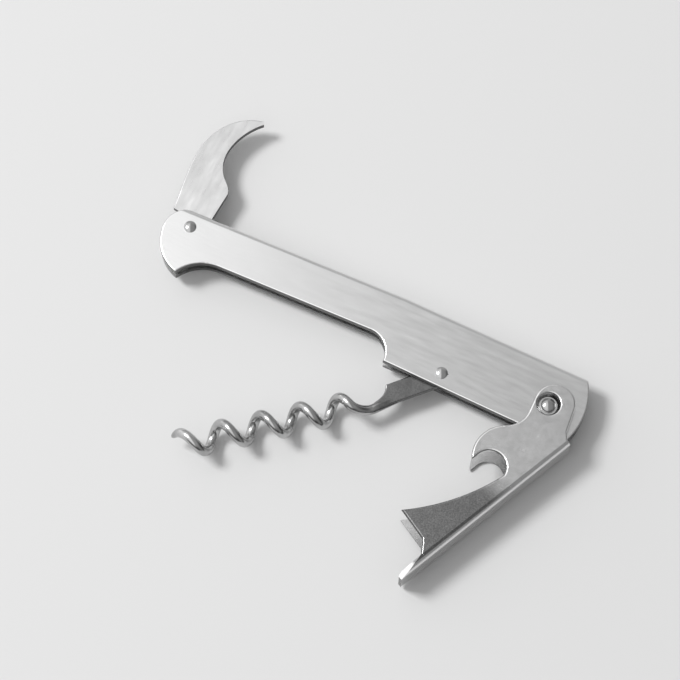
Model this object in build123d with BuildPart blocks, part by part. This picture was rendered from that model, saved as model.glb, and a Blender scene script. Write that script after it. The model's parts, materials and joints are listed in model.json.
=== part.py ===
from build123d import *
import os
from math import asin, atan2, cos, degrees, pi, radians, sin

# A waiter's lever corkscrew: a folded sheet handle carrying a foil knife, a worm and a folded lever.
# +X runs along the handle from the knife to the lever, +Y towards the folded back, +Z up from the
# table that the lever lies on. The origin is under the middle of the opened tool. Millimetres.

os.makedirs("parts", exist_ok=True)

# ---- pivots and how far each piece stands open ----
LEVER_PIVOT = Vector(50.92, 7.70)
WORM_PIVOT = LEVER_PIVOT + Vector(-27.8, -3.2)
KNIFE_PIVOT = LEVER_PIVOT + Vector(-102.7, 5.3)
LEVER_OPEN = 64.0
WORM_OPEN = 38.5
KNIFE_OPEN = 94.0
SLIP = 0.08

# ---- heights ----
LEVER_DEPTH = 10.8
LEVER_SHEET = 1.0
LEVER_EDGE_R = 0.5
LEAF_EDGE_R = 0.25
TANG_EDGE_R = 0.35
DIMPLE_EDGE_R = 0.35
MID = LEVER_DEPTH / 2
HANDLE_DEPTH = 5.0
HANDLE_SHEET = 1.5
HANDLE_GAP = HANDLE_DEPTH - 2 * HANDLE_SHEET
HANDLE_HALF = HANDLE_DEPTH / 2
LEAF = 1.6

# ---- handle outline, from the lever pivot ----
HEAD_ROUND = Vector(-103.1, 3.7)
HEAD_ROUND_R = 6.2
HEAD_SWEEP = Vector(-98.1, 3.7)
HEAD_SWEEP_R = 11.2
HEAD_CUSP = Vector(-100.6, -7.42)
HEAD_HOLLOW_END = Vector(-91.0, -1.45)
HEAD_HOLLOW_R = 10.8
STEP_TOP = Vector(-49.4, -0.3)
STEP_MID = Vector(-44.6, -1.85)
STEP_FOOT = Vector(-42.5, -6.5)
FRONT_RIGHT = Vector(7.1, -7.3)
END_BULGE = Vector(9.1, 0.9)
BACK_RIGHT = Vector(6.0, 11.4)
BACK_KINK = Vector(-44.0, 11.75)
FOLD_R = 1.5
EDGE_R = 0.4
SLOT_END = -65.5
BEYOND = 20.0

# ---- rivets ----
SMALL_SHANK_R = 1.1
SMALL_HEAD_R = 1.6
SMALL_HEAD_RIM = 0.12
SMALL_HEAD_RISE = 0.65
LEVER_SHANK_R = 1.2
LEVER_HEAD_R = 1.85
LEVER_HEAD_RIM = 0.5
LEVER_HEAD_RISE = 1.2

# ---- back spring, from the lever pivot ----
SPRING_EYE_R = 4.2
SPRING_ROOT = [(-4.2, 0), (4.2, 0), (5.5, 9.8), (-8.0, 9.8)]
SPRING_WIDTH = 1.6
SPRING_WALL_Y = 9.0
SPRING_BEND_X = -13.0
SPRING_TIP = Vector(-29.5, 0.25)

# ---- lever, in its own frame: pivot at the origin, folded along -X, spine towards -Y ----
EYE = Vector(1.3, -0.9)
EYE_R = 5.1
EYE_START = -58.0
EYE_END = 116.6
RAMP_FOOT = Vector(-5.2, 1.55)
VALLEY_R = 6.35
HUMP = Vector(-17.3, -4.3)
HUMP_R = 8.6
HUMP_START = 51.2
HUMP_END = 143.0
NOTCH = Vector(-22.0, -3.3)
NOTCH_R = 4.2
NOTCH_START = 101.0
NOTCH_END = -70.0
BLADE_HOLLOW = Vector(-32.3, -4.8)
BLADE_TIP = Vector(-45.9, 1.65)
BLADE_END = Vector(-46.5, -7.1)
V_APEX = Vector(-47.4, -8.2)
CREASE_Y = -10.2
CREASE_LEFT = -49.5
CREASE_RIGHT = -2.5
RELIEF = Vector(-1.2, -8.4)
SPINE_LEFT = -56.8
BULGE_RIGHT = 1.15
BULGE_LEFT = 1.6
RIDGE_RIGHT = 4.25
RIDGE_LEFT = 3.9
RIDGE_R = 1.6
BROW = 0.56
SLOPE_DROP = 0.3
TONGUE_HALF = 3.7
DIMPLE_R = 3.1
DIMPLE_FLOOR_R = 2.3
DIMPLE_FLARE = 0.8
DIMPLE_FLOOR = HANDLE_HALF + SLIP + LEVER_SHEET

# ---- worm, in its own frame: rivet at the origin, folded along -X ----
WIRE_R = 1.15
POINT_R = 0.35
COIL_R = 2.95
COIL_PITCH = 10.1
COIL_AXIS_Y = -2.8
COIL_END_X = -24.5
COIL_END_ANGLE = 90.0
COIL_TURNS = 3.85
POINT_TURNS = 0.46
POINT_DRAW = 0.6
POINT_STEPS = 6
POINT_SHARE = 0.4
TANG_EYE_R = 2.75
TANG_UPPER = [(0.3, 2.73), (-14.2, 0.75), (-14.8, -1.5)]
TANG_HOLLOW = [(-15.9, -2.5), (-18.6, -3.4)]
TANG_LOWER = [(-18.6, -4.6), (-14.0, -4.3), (-0.4, -2.72)]
SHANK_DIP = [(-21.9, -4.05, 0.9), (-18.9, -4.1, 0)]
SHANK_LEAVE = (1, 0.1, 0)
SHANK_END = (-15.4, -3.4)

# ---- knife, in its own frame: rivet at the origin, folded along +X, back towards +Y ----
KNIFE_EYE_R = 3.6
KNIFE_HEEL = [(1.8, 3.12), (3.6, 4.4), (4.0, 6.4)]
KNIFE_BACK = [(4.0, 6.4), (15.5, 7.0), (25.3, 5.7), (31.8, 1.4), (35.2, -6.0)]
KNIFE_EDGE = [(34.4, -6.5), (27.3, -1.5), (21.2, -0.6), (16.5, -2.6), (14.0, -4.7), (12.6, -5.15)]
KNIFE_EYE_FOOT = (0.93, -3.48)


def on_handle(level):
    """Level plane of the handle, its origin over the lever pivot."""
    return Plane(origin=(LEVER_PIVOT.X, LEVER_PIVOT.Y, level))


def swung(pivot, angle, level):
    """Level plane of a hinged piece in its own frame, turned open about its pivot."""
    a = radians(angle)
    return Plane(origin=(pivot.X, pivot.Y, level), x_dir=(cos(a), sin(a), 0), z_dir=(0, 0, 1))


def upright(pivot, angle, side=1):
    """Vertical plane through a pivot: x runs along the piece, y away from the middle height."""
    a = radians(angle)
    return Plane(origin=(pivot.X, pivot.Y, MID), x_dir=(cos(a), sin(a), 0),
                 z_dir=(side * sin(a), -side * cos(a), 0))


def across(pivot, angle, station, aside=0.0):
    """Plane square to a piece at a station along it: x is its own y, y is height from the middle."""
    a = radians(angle)
    at = pivot + Vector(cos(a), sin(a)) * station + Vector(-sin(a), cos(a)) * aside
    return Plane(origin=(at.X, at.Y, MID), x_dir=(-sin(a), cos(a), 0), z_dir=(cos(a), sin(a), 0))


def upward(pivot):
    return Axis((pivot.X, pivot.Y, 0), (0, 0, 1))


def polar(centre, radius, angle):
    return centre + Vector(cos(radians(angle)), sin(radians(angle))) * radius


def finish(piece, name):
    """Names a finished piece and writes it."""
    piece.part.label = name
    export_step(piece.part, f"parts/{name}.step")


def domed_rivet(name, pivot, shank, head, rim, rise, grip):
    """Rivet through both plates: a shank with a domed head closed over each end."""
    dome = rise - rim
    dome_r = (head ** 2 + dome ** 2) / (2 * dome)
    half = asin(head / dome_r) / 2
    shoulder = (dome_r * sin(half), grip + rise - dome_r * (1 - cos(half)))
    with BuildPart() as rivet:
        with BuildSketch(upright(pivot, 0)):
            with BuildLine():
                Polyline((0, grip + rise), (0, 0), (shank, 0), (shank, grip), (head, grip),
                         (head, grip + rim))
                ThreePointArc((head, grip + rim), shoulder, (0, grip + rise))
            make_face()
        revolve(axis=upward(pivot))
        mirror(about=Plane.XY.offset(MID))
    finish(rivet, name)


# ---- handle: one sheet folded into a channel along its back ----
BACK_LEFT = polar(HEAD_ROUND, HEAD_ROUND_R, 90)
HEAD_TURN = polar(HEAD_ROUND, HEAD_ROUND_R, 180)
BACK_SLOPE = (BACK_KINK.Y - BACK_LEFT.Y) / (BACK_KINK.X - BACK_LEFT.X)
WALL = Vector(0, HANDLE_SHEET)
SLOT_CORNER = Vector(SLOT_END, BACK_KINK.Y + BACK_SLOPE * (SLOT_END - BACK_KINK.X))
CHANNEL = [SLOT_CORNER + Vector(0, BEYOND), SLOT_CORNER - WALL, BACK_KINK - WALL,
           BACK_RIGHT - WALL + Vector(BEYOND, 0), FRONT_RIGHT + Vector(BEYOND, -BEYOND),
           HEAD_CUSP - Vector(BEYOND, BEYOND), HEAD_TURN + Vector(-BEYOND, BEYOND)]
with BuildPart() as handle_body:
    with BuildSketch(on_handle(MID - HANDLE_HALF)):
        with BuildLine():
            Polyline(BACK_LEFT, BACK_KINK, BACK_RIGHT)
            ThreePointArc(BACK_RIGHT, END_BULGE, FRONT_RIGHT)
            Line(FRONT_RIGHT, STEP_FOOT)
            ThreePointArc(STEP_FOOT, STEP_MID, STEP_TOP)
            Line(STEP_TOP, HEAD_HOLLOW_END)
            RadiusArc(HEAD_HOLLOW_END, HEAD_CUSP, -HEAD_HOLLOW_R)
            ThreePointArc(HEAD_CUSP, polar(HEAD_SWEEP, HEAD_SWEEP_R, 215), HEAD_TURN)
            ThreePointArc(HEAD_TURN, polar(HEAD_ROUND, HEAD_ROUND_R, 135), BACK_LEFT)
        make_face()
    extrude(amount=HANDLE_DEPTH)
    # the sheet's free edges are rounded over on the outside
    fillet(handle_body.edges().group_by(Axis.Z)[0] + handle_body.edges().group_by(Axis.Z)[-1], EDGE_R)
    # the channel between the plates, and the slot in the fold that the knife closes into
    with BuildSketch(on_handle(MID - HANDLE_GAP / 2)):
        Polygon(*CHANNEL, align=None)
    extrude(amount=HANDLE_GAP, mode=Mode.SUBTRACT)
    # the two rounded corners of the fold, along each straight stretch of the back
    for start, end in ((BACK_LEFT, BACK_KINK), (BACK_KINK, BACK_RIGHT)):
        run = end - start
        slope = degrees(atan2(run.Y, run.X))
        for side in (1, -1):
            rim = side * HANDLE_HALF
            foot = side * (HANDLE_HALF - FOLD_R)
            top = side * (HANDLE_HALF + 1)
            bend = polar(Vector(-FOLD_R, foot), FOLD_R, side * 45)
            with BuildSketch(across(LEVER_PIVOT + start, slope, -HEAD_ROUND_R)):
                with BuildLine():
                    ThreePointArc((-FOLD_R, rim), bend, (0, foot))
                    Polyline((0, foot), (1, foot), (1, top), (-FOLD_R, top), (-FOLD_R, rim))
                make_face()
            extrude(amount=run.length + 2 * HEAD_ROUND_R, mode=Mode.SUBTRACT)
    for pivot, radius in ((LEVER_PIVOT, LEVER_SHANK_R), (WORM_PIVOT, SMALL_SHANK_R),
                          (KNIFE_PIVOT, SMALL_SHANK_R)):
        with Locations((pivot.X, pivot.Y, MID)):
            Hole(radius)
finish(handle_body, "handle_body")

domed_rivet("knife_rivet", KNIFE_PIVOT, SMALL_SHANK_R, SMALL_HEAD_R, SMALL_HEAD_RIM,
            SMALL_HEAD_RISE, HANDLE_HALF)
domed_rivet("worm_rivet", WORM_PIVOT, SMALL_SHANK_R, SMALL_HEAD_R, SMALL_HEAD_RIM,
            SMALL_HEAD_RISE, HANDLE_HALF)
domed_rivet("lever_rivet", LEVER_PIVOT, LEVER_SHANK_R, LEVER_HEAD_R, LEVER_HEAD_RIM,
            LEVER_HEAD_RISE, DIMPLE_FLOOR + SLIP)

# ---- back spring: a leaf riveted at the lever end that bears on the worm's tang ----
with BuildPart() as back_spring:
    with BuildSketch(on_handle(MID - LEAF / 2)):
        Circle(SPRING_EYE_R)
        Polygon(*SPRING_ROOT, align=None)
        with BuildLine():
            wall_run = Line((0, SPRING_WALL_Y), (SPRING_BEND_X, SPRING_WALL_Y))
            TangentArc(wall_run @ 1, SPRING_TIP, tangent=(-1, 0))
        trace(line_width=SPRING_WIDTH)
    extrude(amount=LEAF)
    with Locations((LEVER_PIVOT.X, LEVER_PIVOT.Y, MID)):
        Hole(LEVER_SHANK_R)
finish(back_spring, "back_spring")

# ---- knife: a hooked foil cutter that folds into the slot in the handle's back ----
with BuildPart() as knife_blade:
    with BuildSketch(swung(KNIFE_PIVOT, KNIFE_OPEN, MID - LEAF / 2)):
        with BuildLine():
            Polyline(*KNIFE_HEEL)
            Spline(*KNIFE_BACK)
            Line(KNIFE_BACK[-1], KNIFE_EDGE[0])
            Spline(*KNIFE_EDGE)
            Line(KNIFE_EDGE[-1], KNIFE_EYE_FOOT)
            ThreePointArc(KNIFE_EYE_FOOT, (-KNIFE_EYE_R, 0), KNIFE_HEEL[0])
        make_face()
    extrude(amount=LEAF)
    rims = knife_blade.edges().group_by(Axis.Z)[0] + knife_blade.edges().group_by(Axis.Z)[-1]
    fillet(rims.filter_by(GeomType.BSPLINE).sort_by(SortBy.LENGTH)[-2:], LEAF_EDGE_R)
    with Locations((KNIFE_PIVOT.X, KNIFE_PIVOT.Y, MID)):
        Hole(SMALL_SHANK_R + SLIP)
finish(knife_blade, "knife_blade")


# ---- lever: a folded channel with a claw for crown caps and a lip rest at its end ----
def spine(station):
    """How far the spine stands past its crease, and half its height, at a station along the lever."""
    part = (CREASE_RIGHT - station) / (CREASE_RIGHT - SPINE_LEFT)
    return (BULGE_RIGHT + (BULGE_LEFT - BULGE_RIGHT) * part,
            RIDGE_RIGHT + (RIDGE_LEFT - RIDGE_RIGHT) * part)


HOLLOW_ENDS = (SPINE_LEFT - 3, EYE_R + 3)
INNER_HALF = MID - LEVER_SHEET
with BuildPart() as lever:
    with BuildSketch(swung(LEVER_PIVOT, LEVER_OPEN, 0)):
        with BuildLine():
            eye = CenterArc(EYE, EYE_R, EYE_START, EYE_END - EYE_START)
            hump = CenterArc(HUMP, HUMP_R, HUMP_START, HUMP_END - HUMP_START)
            notch = CenterArc(NOTCH, NOTCH_R, NOTCH_START, NOTCH_END - NOTCH_START)
            Line(eye @ 1, RAMP_FOOT)
            RadiusArc(RAMP_FOOT, hump @ 0, VALLEY_R)
            Line(hump @ 1, notch @ 0)
            ThreePointArc(notch @ 1, BLADE_HOLLOW, BLADE_TIP)
            Polyline(BLADE_TIP, BLADE_END, V_APEX, (CREASE_LEFT, CREASE_Y),
                     (CREASE_RIGHT, CREASE_Y), RELIEF, eye @ 0)
        make_face()
    extrude(amount=LEVER_DEPTH)
    # both plates are rounded over on the outside, apart from the crease and the sharp V notch
    for rim in (lever.edges().group_by(Axis.Z)[0], lever.edges().group_by(Axis.Z)[-1]):
        rim = [e for e in rim if not (abs(e.length - (CREASE_RIGHT - CREASE_LEFT)) < 0.01)]
        fillet(rim, LEVER_EDGE_R)
    # the spine past the crease: a slope on each side, rounded into the outer wall
    for station in (SPINE_LEFT, CREASE_RIGHT):
        stand, half = spine(station)
        with BuildSketch(across(LEVER_PIVOT, LEVER_OPEN, station)):
            with BuildLine():
                FilletPolyline((CREASE_Y, MID), (CREASE_Y - stand, half), (CREASE_Y - stand, -half),
                               (CREASE_Y, -MID), radius=RIDGE_R)
                Line((CREASE_Y, -MID), (CREASE_Y, MID))
            make_face()
    loft()
    # the hollow, one sheet inside the outer faces
    for station in HOLLOW_ENDS:
        stand, half = spine(station)
        wall = CREASE_Y - stand + LEVER_SHEET
        with BuildSketch(across(LEVER_PIVOT, LEVER_OPEN, station)):
            Polygon((BEYOND, INNER_HALF), (CREASE_Y + BROW, INNER_HALF), (wall, half - SLOPE_DROP),
                    (wall, SLOPE_DROP - half), (CREASE_Y + BROW, -INNER_HALF), (BEYOND, -INNER_HALF),
                    align=None)
    loft(mode=Mode.SUBTRACT)
    for side in (1, -1):
        # the tongue narrows towards the lip rest
        with BuildSketch(upright(LEVER_PIVOT, LEVER_OPEN, side)):
            Polygon((CREASE_LEFT, MID), (SPINE_LEFT, TONGUE_HALF), (SPINE_LEFT - 1, TONGUE_HALF),
                    (SPINE_LEFT - 1, MID + 1), (CREASE_LEFT, MID + 1), align=None)
        extrude(amount=BEYOND, both=True, mode=Mode.SUBTRACT)
        # the pressed dimple that brings the plate in to the handle
        cup = DIMPLE_FLOOR - LEVER_SHEET
        with BuildSketch(upright(LEVER_PIVOT, LEVER_OPEN, side)):
            Polygon((0, cup), (DIMPLE_FLOOR_R + DIMPLE_FLARE, cup),
                    (DIMPLE_R + DIMPLE_FLARE, INNER_HALF), (0, INNER_HALF), align=None)
        revolve(axis=upward(LEVER_PIVOT))
        with BuildSketch(upright(LEVER_PIVOT, LEVER_OPEN, side)):
            Polygon((0, DIMPLE_FLOOR), (DIMPLE_FLOOR_R, DIMPLE_FLOOR), (DIMPLE_R, MID),
                    (0, MID), align=None)
        revolve(axis=upward(LEVER_PIVOT), mode=Mode.SUBTRACT)
    dimple_rims = lever.edges().filter_by(lambda e: e.geom_type == GeomType.CIRCLE
                                          and abs(e.radius - DIMPLE_R) < SLIP)
    fillet(dimple_rims.group_by(Axis.Z)[0] + dimple_rims.group_by(Axis.Z)[-1], DIMPLE_EDGE_R)
    with Locations((LEVER_PIVOT.X, LEVER_PIVOT.Y, MID)):
        Hole(LEVER_SHANK_R + SLIP)
finish(lever, "lever")


# ---- worm: a round wire coil drawn out of a flat forged tang ----
def coil_run(angle):
    """Direction of the wire where the coil stands at an angle."""
    a = radians(angle)
    return RISE, -COIL_R * sin(a), COIL_R * cos(a)


def drawn_out(turn):
    """Centre of the wire past the coil's start, where the last half turn is drawn out."""
    a = radians(COIL_START_ANGLE - 360 * turn)
    x = COIL_START_X - COIL_PITCH * turn * (1 + POINT_DRAW * turn)
    return x, COIL_AXIS_Y + COIL_R * cos(a), COIL_R * sin(a)


def coil_plane(x, angle):
    """Plane whose z runs along the coil and whose x points at the wire where it starts."""
    a = radians(angle)
    frame = swung(WORM_PIVOT, WORM_OPEN, MID)
    start = frame.from_local_coords(Vector(x, COIL_AXIS_Y, 0))
    radial = frame.y_dir * cos(a) + frame.z_dir * sin(a)
    return Plane(origin=start, x_dir=radial, z_dir=frame.x_dir)


COIL_START_X = COIL_END_X - COIL_TURNS * COIL_PITCH
COIL_START_ANGLE = COIL_END_ANGLE - 360 * COIL_TURNS
RISE = COIL_PITCH / (2 * pi)
coil_line = coil_plane(COIL_START_X, COIL_START_ANGLE).location * Helix(
    COIL_PITCH, COIL_TURNS * COIL_PITCH, COIL_R)
with BuildPart() as worm:
    with BuildSketch(swung(WORM_PIVOT, WORM_OPEN, MID - LEAF / 2)):
        Circle(TANG_EYE_R)
        with BuildLine():
            Polyline(*TANG_UPPER)
            ThreePointArc(TANG_UPPER[-1], *TANG_HOLLOW)
            Line(TANG_HOLLOW[-1], TANG_LOWER[0])
            Polyline(*TANG_LOWER, TANG_UPPER[0])
        make_face()
    extrude(amount=LEAF)
    fillet(worm.edges().group_by(Axis.Z)[0] + worm.edges().group_by(Axis.Z)[-1], TANG_EDGE_R)
    with BuildSketch(Plane(origin=coil_line @ 0, z_dir=coil_line % 0)):
        Circle(WIRE_R)
    sweep(path=coil_line, is_frenet=True)
    # the last half turn is drawn out and thins to a point
    stations = [drawn_out(POINT_TURNS * (1 - step / POINT_STEPS)) for step in range(POINT_STEPS + 1)]
    with BuildLine(swung(WORM_PIVOT, WORM_OPEN, MID)) as point_path:
        Spline(*stations, tangents=(Vector(stations[1]) - Vector(stations[0]), coil_run(COIL_START_ANGLE)))
    point_line = point_path.line
    for share, radius in ((0, POINT_R), (POINT_SHARE, WIRE_R), (1, WIRE_R)):
        with BuildSketch(Plane(origin=point_line @ share, z_dir=point_line % share)):
            Circle(radius)
    sweep(path=point_line, multisection=True)
    # the wire leaves the coil and straightens into the tang
    with BuildLine(swung(WORM_PIVOT, WORM_OPEN, MID)) as shank_line:
        Spline((COIL_END_X, COIL_AXIS_Y, COIL_R), *SHANK_DIP,
               tangents=(coil_run(COIL_END_ANGLE), SHANK_LEAVE))
    with BuildSketch(Plane(origin=shank_line.line @ 0, z_dir=shank_line.line % 0)):
        Circle(WIRE_R)
    sweep(path=shank_line.line)
    with BuildSketch(across(WORM_PIVOT, WORM_OPEN, *SHANK_DIP[-1][:2])):
        Circle(WIRE_R)
    with BuildSketch(across(WORM_PIVOT, WORM_OPEN, *SHANK_END)):
        Ellipse(WIRE_R, LEAF / 2)
    loft()
    with Locations((WORM_PIVOT.X, WORM_PIVOT.Y, MID)):
        Hole(SMALL_SHANK_R + SLIP)
finish(worm, "worm")
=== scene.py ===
"""A waiter's lever corkscrew lying opened on a pale table: polished folded steel, softly lit."""

import json
import math

import bpy
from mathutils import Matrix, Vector


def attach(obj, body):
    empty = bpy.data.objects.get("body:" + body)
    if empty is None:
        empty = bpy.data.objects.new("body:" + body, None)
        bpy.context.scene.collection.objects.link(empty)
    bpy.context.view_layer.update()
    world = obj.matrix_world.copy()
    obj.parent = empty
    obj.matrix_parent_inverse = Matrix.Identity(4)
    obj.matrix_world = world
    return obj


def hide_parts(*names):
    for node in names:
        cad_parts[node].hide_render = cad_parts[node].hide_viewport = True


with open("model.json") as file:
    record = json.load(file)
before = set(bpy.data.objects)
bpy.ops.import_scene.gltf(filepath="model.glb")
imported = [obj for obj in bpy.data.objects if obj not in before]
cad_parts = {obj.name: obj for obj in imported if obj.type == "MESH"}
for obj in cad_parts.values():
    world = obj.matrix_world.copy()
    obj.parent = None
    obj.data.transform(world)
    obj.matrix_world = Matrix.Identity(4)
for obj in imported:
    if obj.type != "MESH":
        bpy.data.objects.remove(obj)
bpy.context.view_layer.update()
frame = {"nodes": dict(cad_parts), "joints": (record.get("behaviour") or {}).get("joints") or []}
nodes = frame["nodes"]
pivots = {joint["name"]: Vector(joint["pos_m"]) for joint in frame["joints"]}
lever_pivot = pivots["lever_pivot"]
worm_pivot = pivots["worm_pivot"]

MM = 0.001
UP = Vector((0, 0, 1))
MIDDLE = 5.4 * MM  # half the lever's height, where every piece is centred
LEVER_OPEN = math.radians(64)
WORM_OPEN = math.radians(38.5)

# ---------------------------------------------------------------- materials


class Tree:
    """A material's node tree, with short calls for adding and joining nodes."""

    def __init__(self, name):
        self.mat = bpy.data.materials.new(name)
        self.mat.use_nodes = True
        self.nt = self.mat.node_tree
        self.shader = self.nt.nodes["Principled BSDF"]

    def add(self, kind):
        return self.nt.nodes.new("ShaderNode" + kind)

    def link(self, out, into):
        self.nt.links.new(out, into)

    def math(self, how, a, b=0.0):
        node = self.add("Math")
        node.operation = how
        for slot, value in zip(node.inputs, (a, b)):
            if isinstance(value, (int, float)):
                slot.default_value = value
            else:
                self.link(value, slot)
        return node.outputs[0]

    def dot(self, vector, direction):
        node = self.add("VectorMath")
        node.operation = "DOT_PRODUCT"
        node.inputs[1].default_value = direction
        self.link(vector, node.inputs[0])
        return node.outputs["Value"]

    def upward(self, vector):
        node = self.add("SeparateXYZ")
        self.link(vector, node.inputs[0])
        return node.outputs["Z"]

    def place(self, scale=(1, 1, 1)):
        """Object coordinates, stretched: a small scale along an axis draws the pattern out."""
        coords = self.add("TexCoord")
        mapping = self.add("Mapping")
        mapping.inputs["Scale"].default_value = scale
        self.link(coords.outputs["Object"], mapping.inputs["Vector"])
        return mapping.outputs[0]

    def noise(self, vector, scale, detail=3.0, rough=0.5):
        node = self.add("TexNoise")
        node.inputs["Scale"].default_value = scale
        node.inputs["Detail"].default_value = detail
        node.inputs["Roughness"].default_value = rough
        self.link(vector, node.inputs["Vector"])
        return node.outputs["Fac"]

    def ramp(self, fac, low, high, a, b):
        """Maps fac from low..high onto a..b, held at the ends."""
        node = self.add("MapRange")
        node.inputs["From Min"].default_value = low
        node.inputs["From Max"].default_value = high
        node.inputs["To Min"].default_value = a
        node.inputs["To Max"].default_value = b
        self.link(fac, node.inputs["Value"])
        return node.outputs[0]


# nearly all of a noise's values lie between these
NOISE_LOW = 0.3
NOISE_HIGH = 0.7
GRAIN_DETAIL = 4.0
GRAIN_ROUGH = 0.6
CLOUD_SCALE = 160.0
# how upright a normal is on the sheet's faces and on its cut edges
SHEET_NORMAL = 0.82
EDGE_NORMAL = 0.40
EDGE_ROUGH = 0.04
# how far a normal faces the way of the fold, on the edges beside it and on the fold
BESIDE_FOLD = 0.35
ON_FOLD = 0.7
PIT_SCALE = 210.0
PIT_FLOOR = 0.035
PIT_RIM = 0.06
PIT_PATCHES = 90.0
PIT_TONE = 0.25
PIT_ROUGH = 0.3
PIT_DEPTH = 2.0
DARKENING_NOISE_SCALE = 2600.0
DARKENING_NOISE_SWING = 0.15
DARKENING_BLUR = 0.2 * MM
BUMP_DEPTH = 0.02 * MM


def edges_of(t, fold):
    """1 on cut edges, 0 on the polished sheet and on its fold, which faces the way of fold. The
    mask for the edges' roughness and for their darkening, which is partly painted shade.
    """
    normal = t.add("NewGeometry").outputs["Normal"]
    lean = t.math("ABSOLUTE", t.upward(normal))
    upright = t.ramp(lean, EDGE_NORMAL, SHEET_NORMAL, 1.0, 0.0)
    if fold:
        off_fold = t.ramp(t.dot(normal, fold), BESIDE_FOLD, ON_FOLD, 1.0, 0.0)
        upright = t.math("MULTIPLY", upright, off_fold)
    return upright


def pits_of(t, flat, rarity):
    """1 in small specks where the plating has gone, fewer with a higher rarity."""
    cell = t.add("TexVoronoi")
    cell.inputs["Scale"].default_value = PIT_SCALE
    t.link(flat, cell.inputs["Vector"])
    speck = t.ramp(cell.outputs["Distance"], PIT_FLOOR, PIT_RIM, 1.0, 0.0)
    kept = t.math("GREATER_THAN", t.noise(flat, PIT_PATCHES, 1.0), rarity)
    return t.math("MULTIPLY", speck, kept)


def darkened_share(t, flat, pivot, direction, start, end, left, reach):
    """What is left of the tone where a part is darkened: all of it up to start from the pivot,
    and only the share left past end. On the worm this is painted shade over the tang under the
    handle's top plate. Faces less than reach from the middle height stay as they are."""
    along = t.dot(flat, direction)
    offset = t.math("SUBTRACT", along, pivot.dot(direction))
    from_middle = t.math("ABSOLUTE", t.math("SUBTRACT", t.upward(flat), MIDDLE))
    outside = t.ramp(from_middle, reach - DARKENING_BLUR, reach, 0.0, 1.0)
    lost = t.math("MULTIPLY", t.ramp(offset, start, end, 0.0, 1.0 - left), outside)
    darkening_noise = t.ramp(t.noise(flat, DARKENING_NOISE_SCALE, 2.0), NOISE_LOW, NOISE_HIGH,
                  1.0 - DARKENING_NOISE_SWING, 1.0 + DARKENING_NOISE_SWING)
    return t.math("SUBTRACT", 1.0, t.math("MULTIPLY", lost, darkening_noise))


def steel(name, tone, rough, grain_scale, grain_depth, bare_and_shaded_edge_tone, rarity, mottle=0.05,
          fold=None, darkening=None):
    """Sheet steel: fine grain, faint mottling, a few pits and darker cut edges, which keep only
    bare_and_shaded_edge_tone of its tone, partly for the bare cut steel and partly as painted
    shade for the dark room that they reflect. fold is the way that the sheet's fold faces at rest.
    ground holds the last arguments of darkened_share, which darkens part of the sheet."""
    t = Tree(name)
    flat = t.place()
    grain = t.noise(t.place(grain_scale), 1.0, GRAIN_DETAIL, GRAIN_ROUGH)
    cloud = t.noise(flat, CLOUD_SCALE)
    upright = edges_of(t, fold)
    speck = pits_of(t, flat, rarity)
    value = t.ramp(cloud, NOISE_LOW, NOISE_HIGH, tone - mottle, tone + mottle)
    # cut edges darkened to bare_and_shaded_edge_tone: partly the bare cut steel, partly painted
    # shade for the dark room they reflect
    value = t.math("MULTIPLY", value, t.ramp(upright, 0.0, 1.0, 1.0, bare_and_shaded_edge_tone))
    value = t.math("MULTIPLY", value, t.ramp(speck, 0.0, 1.0, 1.0, PIT_TONE))
    # ground dims part of the sheet: on the worm it is painted shade over the tang under the
    # handle's top plate, on the lever it dims the plates' faces towards the tip
    if darkening:
        value = t.math("MULTIPLY", value, darkened_share(t, flat, *darkening))
    grey = t.add("CombineColor")
    for channel in grey.inputs:
        t.link(value, channel)
    t.link(grey.outputs[0], t.shader.inputs["Base Color"])
    roughness = t.ramp(grain, NOISE_LOW, NOISE_HIGH, rough * 0.8, rough * 1.25)
    roughness = t.math("ADD", roughness, t.math("MULTIPLY", speck, PIT_ROUGH))
    roughness = t.math("ADD", roughness, t.math("MULTIPLY", upright, EDGE_ROUGH))
    t.link(roughness, t.shader.inputs["Roughness"])
    t.shader.inputs["Metallic"].default_value = 1.0
    bump = t.add("Bump")
    bump.inputs["Strength"].default_value = grain_depth
    bump.inputs["Distance"].default_value = BUMP_DEPTH
    relief = t.math("SUBTRACT", grain, t.math("MULTIPLY", speck, PIT_DEPTH))
    t.link(relief, bump.inputs["Height"])
    t.link(bump.outputs[0], t.shader.inputs["Normal"])
    return t.mat


def paint(name, material):
    mesh = nodes[name].data
    mesh.materials.clear()
    mesh.materials.append(material)


FINE = (900, 900, 900)
down_lever = Vector((-math.cos(LEVER_OPEN), -math.sin(LEVER_OPEN), 0))
off_spine = Vector((math.sin(LEVER_OPEN), -math.cos(LEVER_OPEN), 0))
up_worm = Vector((math.cos(WORM_OPEN), math.sin(WORM_OPEN), 0))
# bare_and_shaded_edge_tone darkens the cut edges, partly for the bare cut steel and partly as
# painted shade for the dark room they reflect
handle_steel = steel("handle_steel", tone=0.88, rough=0.20, grain_scale=(120, 900, 900),
                     grain_depth=0.015, bare_and_shaded_edge_tone=0.12, rarity=0.68, mottle=0.012,
                     fold=Vector((0, 1, 0)))
# the lever's ground dims the outer faces of its plates past 20 mm towards the tip, to about a
# third past 28 mm
lever_steel = steel("lever_steel", tone=0.76, rough=0.22, grain_scale=(700, 700, 700),
                    grain_depth=0.05, bare_and_shaded_edge_tone=0.16, rarity=0.60, mottle=0.02,
                    fold=off_spine,
                    darkening=(lever_pivot, down_lever, 20 * MM, 28 * MM, 0.34, 4.9 * MM))
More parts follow.
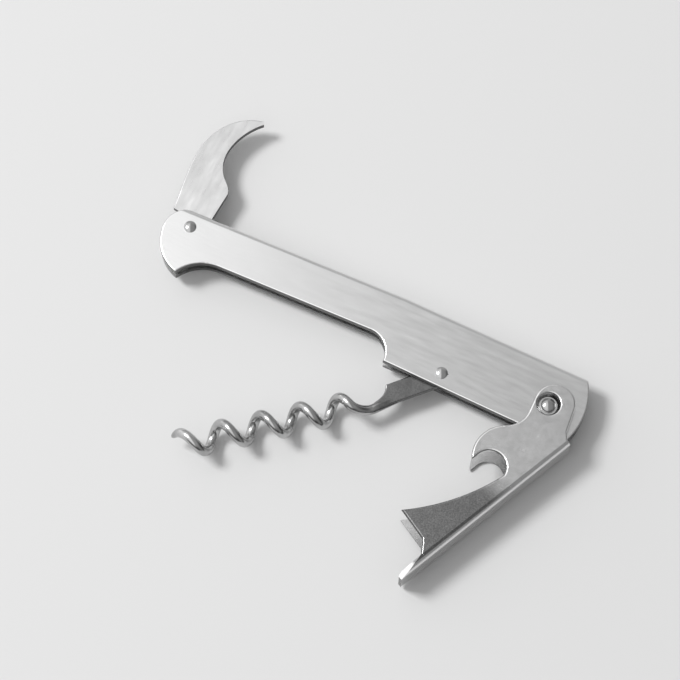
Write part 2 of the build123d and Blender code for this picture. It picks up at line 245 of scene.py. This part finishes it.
# the worm's ground is painted shade: it halves the tone of the tang and the wire's root, which lie
# tucked under the handle's top plate
worm_steel = steel("worm_steel", tone=0.50, rough=0.19, grain_scale=FINE,
                   grain_depth=0.06, bare_and_shaded_edge_tone=0.9, rarity=0.66, mottle=0.12,
                   darkening=(worm_pivot, up_worm, -20 * MM, -17 * MM, 0.50, 0.0))
knife_steel = steel("knife_steel", tone=0.68, rough=0.32, grain_scale=(900, 160, 900),
                    grain_depth=0.10, bare_and_shaded_edge_tone=0.25, rarity=0.70, mottle=0.04)
rivet_steel = steel("rivet_steel", tone=0.50, rough=0.16, grain_scale=FINE,
                    grain_depth=0.05, bare_and_shaded_edge_tone=1.0, rarity=0.8)
spring_steel = steel("spring_steel", tone=0.35, rough=0.4, grain_scale=FINE,
                     grain_depth=0.10, bare_and_shaded_edge_tone=0.8, rarity=0.6)
for node, material in (("handle_body", handle_steel), ("lever", lever_steel),
                       ("knife_blade", knife_steel), ("knife_rivet", rivet_steel),
                       ("worm_rivet", rivet_steel), ("lever_rivet", rivet_steel),
                       ("back_spring", spring_steel)):
    paint(node, material)

# ---------------------------------------------------------------- worm, folded along -X
# Numbers are millimetres in the worm's own frame: the rivet at the origin, z from the middle.

WIRE_R = 1.27
COIL_R = 2.95
PITCH = 10.1
AXIS_Y = -2.8
COIL_END = -24.5
COIL_TURNS = 3.85
LAST_TURN = 0.46
LAST_DRAW = 0.6
POINT_TURNS = 0.16
POINT_SHARE = 0.22
COIL_STEPS = 230
BEND_STEPS = 28
ROOT_STEPS = 12
RING = 28
LEAVING_PULL = 0.338
BEND_END = Vector((-18.8, -4.6, 0))
BEND_PULL = Vector((5.5, 0.5, 0))
ROOT_END = Vector((-12.5, -3.3, 0))
ROOT_SIDE_LOSS = 0.1
LEAF = 1.6
ROOT_HALF = 0.45 * LEAF
EYE_R = 2.75


def in_worm(x, y, z):
    """The shared frame's point for one in the worm's own frame."""
    return Vector((worm_pivot.x + (x * math.cos(WORM_OPEN) - y * math.sin(WORM_OPEN)) * MM,
                   worm_pivot.y + (x * math.sin(WORM_OPEN) + y * math.cos(WORM_OPEN)) * MM,
                   worm_pivot.z + z * MM))


def coil_point(turns):
    """Centre of the wire so many turns from the tang, with the last half turn drawn out."""
    past = max(0.0, turns - COIL_TURNS)
    x = COIL_END - PITCH * (turns + LAST_DRAW * past * past)
    at = math.radians(90 - 360 * turns)
    return Vector((x, AXIS_Y + COIL_R * math.cos(at), COIL_R * math.sin(at)))


def hermite(p0, p1, t0, t1, f):
    a, b = 2 * f ** 3 - 3 * f ** 2 + 1, f ** 3 - 2 * f ** 2 + f
    return p0 * a + t0 * b + p1 * (1 - a) + t1 * (f ** 3 - f ** 2)


def wire_stations():
    """(centre, radius across, radius in height) along the wire, from its point into the tang."""
    total = COIL_TURNS + LAST_TURN
    for i in range(COIL_STEPS + 1):
        turns = total * (1 - i / COIL_STEPS)
        grown = math.sqrt(min(1.0, (total - turns) / POINT_TURNS))
        radius = WIRE_R * min(1.0, POINT_SHARE + (1 - POINT_SHARE) * grown)
        yield coil_point(turns), radius, radius
    start = coil_point(0.0)
    leaving = (start - coil_point(0.001)) / 0.001 * LEAVING_PULL
    for i in range(1, BEND_STEPS + 1):
        f = i / BEND_STEPS
        yield hermite(start, BEND_END, leaving, BEND_PULL, f), WIRE_R, WIRE_R
    for i in range(1, ROOT_STEPS + 1):
        f = i / ROOT_STEPS
        eased = f * f * (3 - 2 * f)
        yield (BEND_END.lerp(ROOT_END, f), WIRE_R - ROOT_SIDE_LOSS * eased,
               WIRE_R + (ROOT_HALF - WIRE_R) * eased)


def tube(stations):
    """Points and faces of a closed tube through the stations, its rings carried without twist."""
    verts, faces = [], []
    points = [in_worm(*centre) for centre, _, _ in stations]
    for i, (_, wide, tall) in enumerate(stations):
        ahead = (points[min(i + 1, len(points) - 1)] - points[max(i - 1, 0)]).normalized()
        aside = ahead.cross(UP).normalized()
        above = aside.cross(ahead)
        for k in range(RING):
            at = 2 * math.pi * k / RING
            verts.append(points[i] + aside * (wide * MM * math.cos(at))
                         + above * (tall * MM * math.sin(at)))
        if i:
            for k in range(RING):
                a, b = (i - 1) * RING + k, (i - 1) * RING + (k + 1) % RING
                faces.append((a, b, b + RING, a + RING))
    last = (len(stations) - 1) * RING
    faces.append(tuple(range(RING - 1, -1, -1)))
    faces.append(tuple(range(last, last + RING)))
    return verts, faces


def plate(outline, thick):
    """Points and faces of a flat plate with that outline, about the middle height."""
    count = len(outline)
    verts = [in_worm(x, y, z) for z in (-thick / 2, thick / 2) for x, y in outline]
    faces = [tuple(range(count - 1, -1, -1)), tuple(range(count, 2 * count))]
    faces += [(k, (k + 1) % count, (k + 1) % count + count, k + count) for k in range(count)]
    return verts, faces


def arc(radius, start, end, steps):
    return [(radius * math.cos(math.radians(start + (end - start) * i / steps)),
             radius * math.sin(math.radians(start + (end - start) * i / steps)))
            for i in range(steps + 1)]


def bezier(p0, p1, p2, steps):
    return [tuple(p0[k] * (1 - f) ** 2 + 2 * p1[k] * f * (1 - f) + p2[k] * f * f for k in (0, 1))
            for f in (i / steps for i in range(1, steps))]


def worm_piece(name, verts, faces):
    """A mesh that stands for the worm's CAD node, and rides where it does."""
    mesh = bpy.data.meshes.new(name)
    mesh.from_pydata(verts, [], faces)
    mesh.validate()
    mesh.materials.append(worm_steel)
    piece = bpy.data.objects.new(name, mesh)
    bpy.context.scene.collection.objects.link(piece)
    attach(piece, "worm")
    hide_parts("worm")
    return piece


worm_wire = worm_piece("worm_wire", *tube(list(wire_stations())))
for face in worm_wire.data.polygons:
    face.use_smooth = len(face.vertices) == 4

# the forged tang: an eye round the rivet and a hooked shoulder where the back spring bears
shoulder = (-14.2, 0.75)
outline = (arc(EYE_R, -98, 84, 24) + [shoulder]
           + bezier(shoulder, (-14.6, -2.1), (-18.6, -3.3), 12)
           + [(-18.6, -3.5), (-18.6, -5.2), (-14.0, -4.45)])
worm_tang = worm_piece("worm_tang", *plate(outline, LEAF))
rounding = worm_tang.modifiers.new("rounding", "BEVEL")
rounding.width = 0.32 * MM
rounding.segments = 4
rounding.limit_method = "ANGLE"
rounding.angle_limit = math.radians(40)
rounding.harden_normals = True

# ---------------------------------------------------------------- table and camera

HALF_TABLE = 3.0
corners = [(-HALF_TABLE, -HALF_TABLE, 0), (HALF_TABLE, -HALF_TABLE, 0),
           (HALF_TABLE, HALF_TABLE, 0), (-HALF_TABLE, HALF_TABLE, 0)]
table_mesh = bpy.data.meshes.new("table")
table_mesh.from_pydata(corners, [], [(0, 1, 2, 3)])
table = bpy.data.objects.new("table", table_mesh)
bpy.context.scene.collection.objects.link(table)
table_top = Tree("table_top")
table_top.shader.inputs["Base Color"].default_value = (0.62, 0.62, 0.62, 1)
table_top.shader.inputs["Roughness"].default_value = 0.75
table_top.shader.inputs["Specular IOR Level"].default_value = 0.2
table_mesh.materials.append(table_top.mat)

AZIMUTH = math.radians(25.4)
ELEVATION = math.radians(70.0)
DISTANCE = 609.1 * MM
TARGET = Vector((-4.1, 2.4, 5.3)) * MM
back = Vector((math.sin(AZIMUTH) * math.cos(ELEVATION),
               -math.cos(AZIMUTH) * math.cos(ELEVATION),
               math.sin(ELEVATION)))
right = Vector((math.cos(AZIMUTH), math.sin(AZIMUTH), 0))
away = Vector((-math.sin(AZIMUTH), math.cos(AZIMUTH), 0))
camera = bpy.data.objects.new("camera", bpy.data.cameras.new("camera"))
bpy.context.scene.collection.objects.link(camera)
camera.data.sensor_width = 36.0
camera.data.lens = 127.06
camera.data.clip_start = 0.01
camera.data.clip_end = 20.0
camera.location = TARGET + back * DISTANCE
camera.rotation_mode = "QUATERNION"
camera.rotation_quaternion = (-back).to_track_quat("-Z", "Y")
bpy.context.scene.camera = camera

# ---------------------------------------------------------------- light


def lamp(name, to_right, to_away, height, size, energy):
    """A square soft light, placed by how far right of, beyond and above the object it hangs."""
    data = bpy.data.lights.new(name, "AREA")
    data.shape = "SQUARE"
    data.size = size
    data.energy = energy
    made = bpy.data.objects.new(name, data)
    bpy.context.scene.collection.objects.link(made)
    made.location = right * to_right + away * to_away + UP * height
    made.rotation_mode = "QUATERNION"
    made.rotation_quaternion = (-made.location).to_track_quat("-Z", "Y")


lamp("window", to_right=-1.2, to_away=0.4, height=1.6, size=0.55, energy=32.0)

world = bpy.data.worlds.new("studio")
bpy.context.scene.world = world
world.use_nodes = True
wt = world.node_tree
background = wt.nodes["Background"]
coords = wt.nodes.new("ShaderNodeTexCoord")


def towards(direction):
    """How much a direction of the sky lies towards the given one, -1 to 1."""
    dot = wt.nodes.new("ShaderNodeVectorMath")
    dot.operation = "DOT_PRODUCT"
    dot.inputs[1].default_value = direction.normalized()
    wt.links.new(coords.outputs["Generated"], dot.inputs[0])
    return dot.outputs["Value"]


def smooth(value, low, high, a, b):
    node = wt.nodes.new("ShaderNodeMapRange")
    node.interpolation_type = "SMOOTHSTEP"
    for key, number in (("From Min", low), ("From Max", high), ("To Min", a), ("To Max", b)):
        node.inputs[key].default_value = number
    wt.links.new(value, node.inputs["Value"])
    return node.outputs[0]


def both(how, one, other):
    node = wt.nodes.new("ShaderNodeMath")
    node.operation = how
    wt.links.new(one, node.inputs[0])
    wt.links.new(other, node.inputs[1])
    return node.outputs[0]


# The ceiling is bright on the left and greyer to the right. Lower down the left wall is bright,
# the far wall is dimmer, the near and right walls are dark, and a faint strip stands between them.
ceiling = smooth(towards(right), -0.10, 0.06, 1.14, 0.41)
left_wall = smooth(towards(away * 0.25 - right), 0.55, 0.9, 0.05, 0.9)
far_wall = smooth(towards(away), 0.3, 0.9, 0.0, 0.5)
near_right = smooth(towards(right * 0.8 - away * 0.6 + UP * 0.25), 0.86, 0.98, 0.0, 0.22)
walls = both("ADD", both("ADD", left_wall, far_wall), near_right)
WALL_TOP = 0.25
CEILING_EDGE = 0.80
overhead = smooth(towards(UP), WALL_TOP, CEILING_EDGE, 0.0, 1.0)
lower_down = smooth(towards(UP), WALL_TOP, CEILING_EDGE, 1.0, 0.0)
sky = both("ADD", both("MULTIPLY", ceiling, overhead), both("MULTIPLY", walls, lower_down))
wt.links.new(sky, background.inputs["Strength"])
background.inputs["Color"].default_value = (1, 1, 1, 1)

bpy.context.scene.view_settings.view_transform = "Standard"
